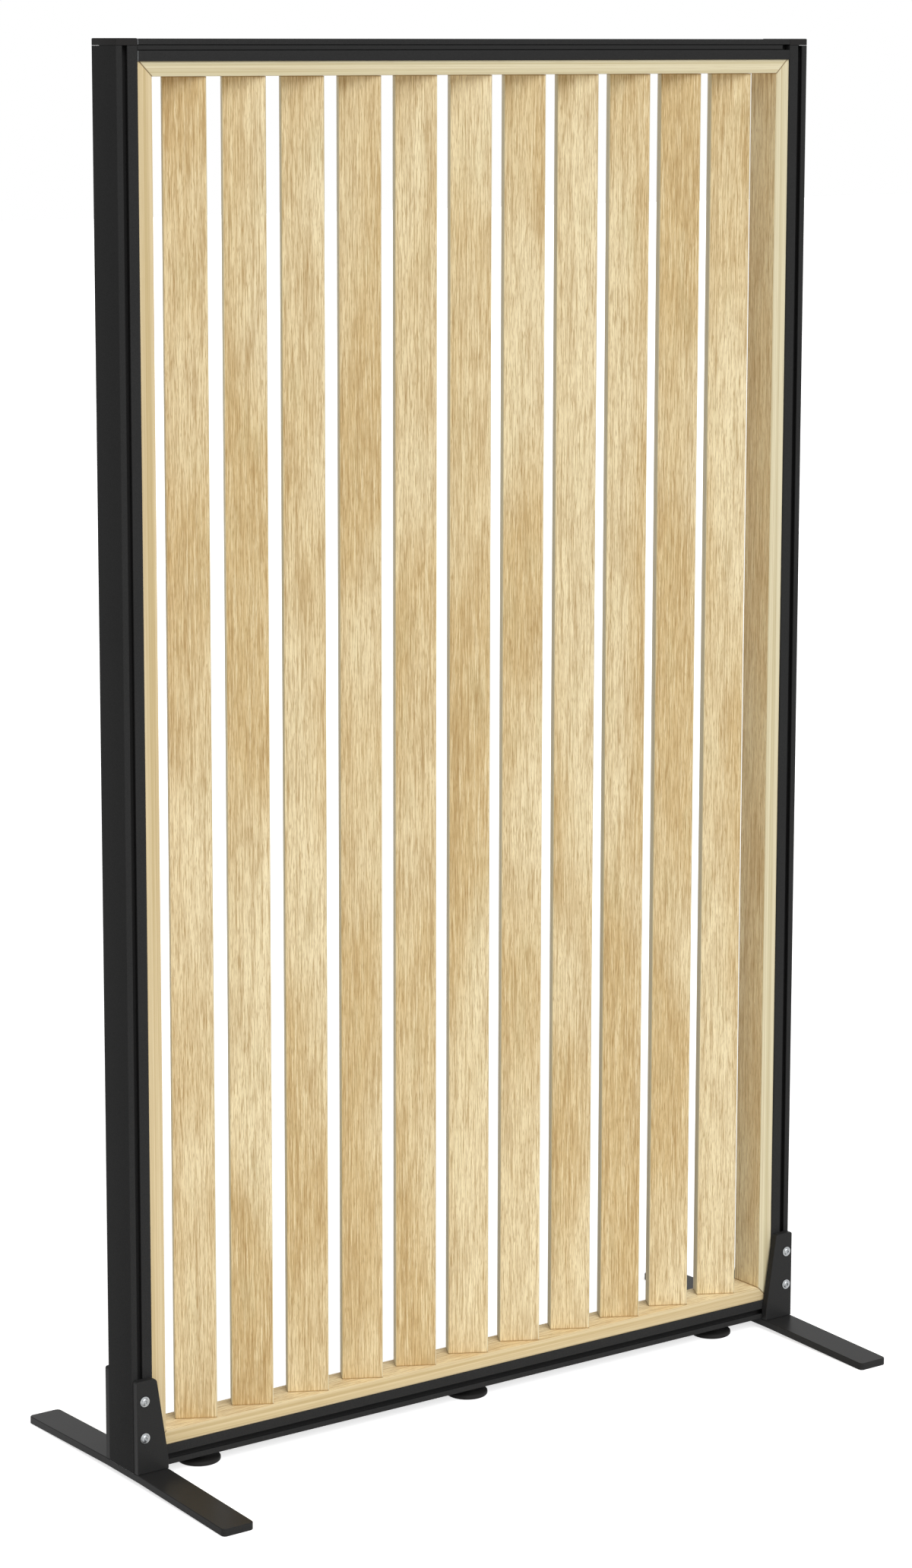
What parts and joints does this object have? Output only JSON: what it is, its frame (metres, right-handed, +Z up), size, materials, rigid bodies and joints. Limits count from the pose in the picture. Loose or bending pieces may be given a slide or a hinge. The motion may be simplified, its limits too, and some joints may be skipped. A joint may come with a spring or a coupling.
{
  "type": "free-standing slatted partition screen",
  "caption": "Tall free-standing privacy screen: upright angled timber slats in a pale timber lining, inside a slotted black frame on flat cross feet with levelling pads.",
  "frame": {"origin": "on the floor, under the middle of the frame", "axes": "+X to the right along the rails, +Y to the back, +Z up; the front looks along -Y"},
  "size_m": [1.077, 0.48, 1.8],
  "materials": {
    "frame": "extruded aluminium, matt black powder coat",
    "plastic": "black moulded plastic, fine matt texture",
    "slat": "open-grained hardwood, clear matt oil",
    "lining": "pale hardwood, clear matt oil",
    "foot": "steel plate, satin black powder coat",
    "steel": "bright zinc-plated steel"
  },
  "bodies": {
    "screen": {"left_post": "frame", "right_post": "frame", "left_post_cap": "plastic", "right_post_cap": "plastic", "top_rail": "frame", "bottom_rail": "frame", "top_rail_front_slot_strip": "plastic", "top_rail_rear_slot_strip": "plastic", "top_left_connector": "steel", "top_right_connector": "steel", "bottom_left_connector": "steel", "bottom_right_connector": "steel", "left_lining_board": "lining", "right_lining_board": "lining", "top_lining_board": "lining", "bottom_lining_board": "lining", "slat_1": "slat", "slat_2": "slat", "slat_3": "slat", "slat_4": "slat", "slat_5": "slat", "slat_6": "slat", "slat_7": "slat", "slat_8": "slat", "slat_9": "slat", "slat_10": "slat", "slat_11": "slat", "left_foot_bar": "foot", "right_foot_bar": "foot", "left_foot_front_wing": "foot", "left_foot_rear_wing": "foot", "right_foot_front_wing": "foot", "right_foot_rear_wing": "foot", "left_front_lower_screw": "steel", "left_front_upper_screw": "steel", "left_rear_lower_screw": "steel", "left_rear_upper_screw": "steel", "right_front_lower_screw": "steel", "right_front_upper_screw": "steel", "right_rear_lower_screw": "steel", "right_rear_upper_screw": "steel", "left_front_lower_slot_nut": "steel", "left_front_upper_slot_nut": "steel", "left_rear_lower_slot_nut": "steel", "left_rear_upper_slot_nut": "steel", "right_front_lower_slot_nut": "steel", "right_front_upper_slot_nut": "steel", "right_rear_lower_slot_nut": "steel", "right_rear_upper_slot_nut": "steel", "left_leveller_insert": "steel", "centre_leveller_insert": "steel", "right_leveller_insert": "steel"},
    "left_leveller_pad": {"left_leveller_pad": "plastic"},
    "left_leveller_stud": {"left_leveller_stud": "steel"},
    "centre_leveller_pad": {"centre_leveller_pad": "plastic"},
    "centre_leveller_stud": {"centre_leveller_stud": "steel"},
    "right_leveller_pad": {"right_leveller_pad": "plastic"},
    "right_leveller_stud": {"right_leveller_stud": "steel"}
  },
  "joints": [
    {"name": "left_leveller_travel", "type": "slide", "parent": "screen", "child": "left_leveller_pad", "axis": [0, 0, -1], "range_m": [-0.0025, 0.012]},
    {"name": "left_leveller_turn", "type": "hinge", "parent": "left_leveller_pad", "child": "left_leveller_stud", "pos_m": [-0.4229, 0, 0.0098], "axis": [0, 0, -1], "range_deg": [-720, 3456]},
    {"name": "centre_leveller_travel", "type": "slide", "parent": "screen", "child": "centre_leveller_pad", "axis": [0, 0, -1], "range_m": [-0.0025, 0.012]},
    {"name": "centre_leveller_turn", "type": "hinge", "parent": "centre_leveller_pad", "child": "centre_leveller_stud", "pos_m": [0, 0, 0.0098], "axis": [0, 0, -1], "range_deg": [-720, 3456]},
    {"name": "right_leveller_travel", "type": "slide", "parent": "screen", "child": "right_leveller_pad", "axis": [0, 0, -1], "range_m": [-0.0025, 0.012]},
    {"name": "right_leveller_turn", "type": "hinge", "parent": "right_leveller_pad", "child": "right_leveller_stud", "pos_m": [0.4229, 0, 0.0098], "axis": [0, 0, -1], "range_deg": [-720, 3456]}
  ],
  "couplings": [
    {"joint": "left_leveller_turn", "follows": "left_leveller_travel", "rad_per_m": 5026.5},
    {"joint": "centre_leveller_turn", "follows": "centre_leveller_travel", "rad_per_m": 5026.5},
    {"joint": "right_leveller_turn", "follows": "right_leveller_travel", "rad_per_m": 5026.5}
  ]
}
